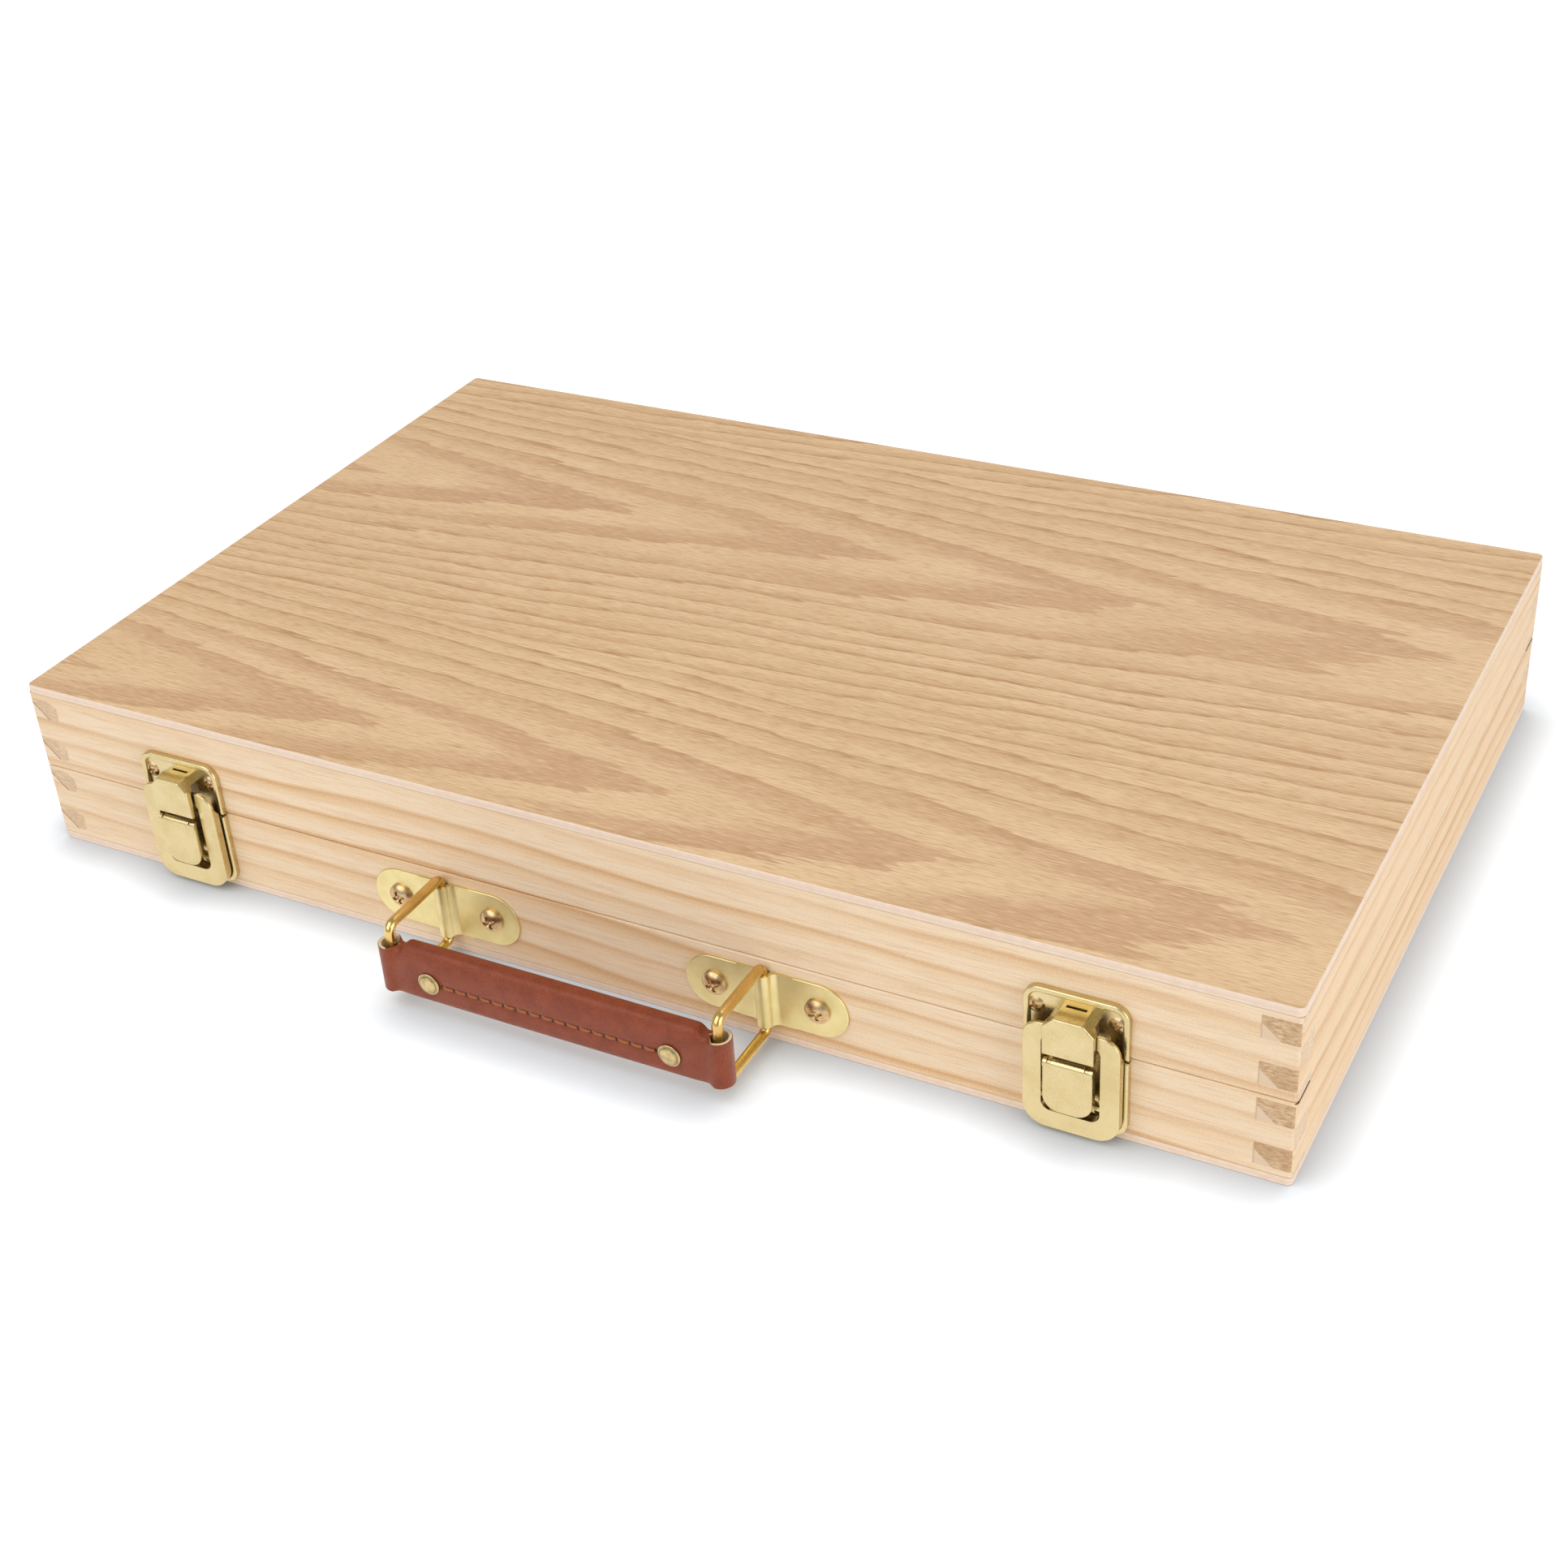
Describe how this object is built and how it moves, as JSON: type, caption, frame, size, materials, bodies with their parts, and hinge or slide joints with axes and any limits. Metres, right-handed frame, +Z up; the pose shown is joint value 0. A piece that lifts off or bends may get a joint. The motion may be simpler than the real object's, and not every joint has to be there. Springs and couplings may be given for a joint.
{
  "type": "hinged wooden brush box",
  "caption": "Flat wooden case with finger-jointed rails, a lid hinged at the back, two brass draw latches and a leather-covered swing handle at the front",
  "frame": {"origin": "middle of the box's underside, on the surface it rests on", "axes": "+X along the box to the viewer's right of the front, the front with latches and handle faces -Y, +Z up"},
  "size_m": [0.394, 0.2783, 0.0552],
  "materials": {
    "plywood": "thin plywood, clear matt",
    "pine_rail": "sanded pine, clear matt",
    "brass": "brass-plated pressed steel, satin",
    "brass_wire": "bright brass-plated wire",
    "brass_rivet": "domed brass rivet",
    "bronzed_screw": "bronzed screw",
    "leather": "brown grained leather with cream inside",
    "core_strip": "stiff fibre strip"
  },
  "bodies": {
    "base": {"base_bottom_panel": "plywood", "base_front_rail": "pine_rail", "base_back_rail": "pine_rail", "base_left_rail": "pine_rail", "base_right_rail": "pine_rail", "left_hinge_base_leaf": "brass", "left_hinge_pin": "brass", "left_hinge_base_screws": "bronzed_screw", "left_latch_foot_plate": "brass", "left_latch_foot_screws": "bronzed_screw", "left_latch_link_pin": "brass", "left_handle_bracket": "brass", "left_bracket_screws": "brass", "right_hinge_base_leaf": "brass", "right_hinge_pin": "brass", "right_hinge_base_screws": "bronzed_screw", "right_latch_foot_plate": "brass", "right_latch_foot_screws": "bronzed_screw", "right_latch_link_pin": "brass", "right_handle_bracket": "brass", "right_bracket_screws": "brass"},
    "lid": {"lid_top_panel": "plywood", "lid_front_rail": "pine_rail", "lid_back_rail": "pine_rail", "lid_left_rail": "pine_rail", "lid_right_rail": "pine_rail", "left_hinge_lid_leaf": "brass", "left_hinge_lid_screws": "bronzed_screw", "left_latch_keeper": "brass", "left_latch_keeper_screws": "bronzed_screw", "right_hinge_lid_leaf": "brass", "right_hinge_lid_screws": "bronzed_screw", "right_latch_keeper": "brass", "right_latch_keeper_screws": "bronzed_screw"},
    "left_latch_link": {"left_latch_link": "brass"},
    "left_latch_lever": {"left_latch_lever": "brass", "left_latch_lever_pin": "brass"},
    "right_latch_link": {"right_latch_link": "brass"},
    "right_latch_lever": {"right_latch_lever": "brass", "right_latch_lever_pin": "brass"},
    "left_handle_loop": {"left_handle_loop": "brass_wire"},
    "right_handle_loop": {"right_handle_loop": "brass_wire"},
    "handle_grip": {"handle_grip_leather": "leather", "handle_grip_core": "core_strip", "handle_grip_rivets": "brass_rivet"}
  },
  "joints": [
    {"name": "lid_hinge", "type": "hinge", "parent": "base", "child": "lid", "pos_m": [0, 0.1238, 0.0266], "axis": [-1, 0, 0], "range_deg": [0, 160]},
    {"name": "left_link_swing", "type": "hinge", "parent": "base", "child": "left_latch_link", "pos_m": [-0.141, -0.12735, 0.0237], "axis": [-1, 0, 0], "range_deg": [0, 75]},
    {"name": "left_lever_swing", "type": "hinge", "parent": "left_latch_link", "child": "left_latch_lever", "pos_m": [-0.141, -0.1249, 0.011], "axis": [-1, 0, 0], "range_deg": [-30, 0]},
    {"name": "right_link_swing", "type": "hinge", "parent": "base", "child": "right_latch_link", "pos_m": [0.141, -0.12735, 0.0237], "axis": [-1, 0, 0], "range_deg": [0, 75]},
    {"name": "right_lever_swing", "type": "hinge", "parent": "right_latch_link", "child": "right_latch_lever", "pos_m": [0.141, -0.1249, 0.011], "axis": [-1, 0, 0], "range_deg": [-30, 0]},
    {"name": "left_handle_swing", "type": "hinge", "parent": "base", "child": "left_handle_loop", "pos_m": [-0.0499, -0.1232, 0.0146], "axis": [0, 0, 1], "range_deg": [-72, 72]},
    {"name": "right_handle_swing", "type": "hinge", "parent": "base", "child": "right_handle_loop", "pos_m": [0.0529, -0.1232, 0.0146], "axis": [0, 0, 1], "range_deg": [-72, 72]},
    {"name": "grip_pivot", "type": "hinge", "parent": "left_handle_loop", "child": "handle_grip", "pos_m": [-0.0499, -0.1478, 0.0146], "axis": [0, 0, 1], "range_deg": [-72, 72]}
  ],
  "couplings": [
    {"joint": "left_lever_swing", "follows": "left_link_swing", "ratio": -0.4},
    {"joint": "right_lever_swing", "follows": "right_link_swing", "ratio": -0.4},
    {"joint": "right_handle_swing", "follows": "left_handle_swing", "ratio": 1},
    {"joint": "grip_pivot", "follows": "left_handle_swing", "ratio": -1}
  ]
}
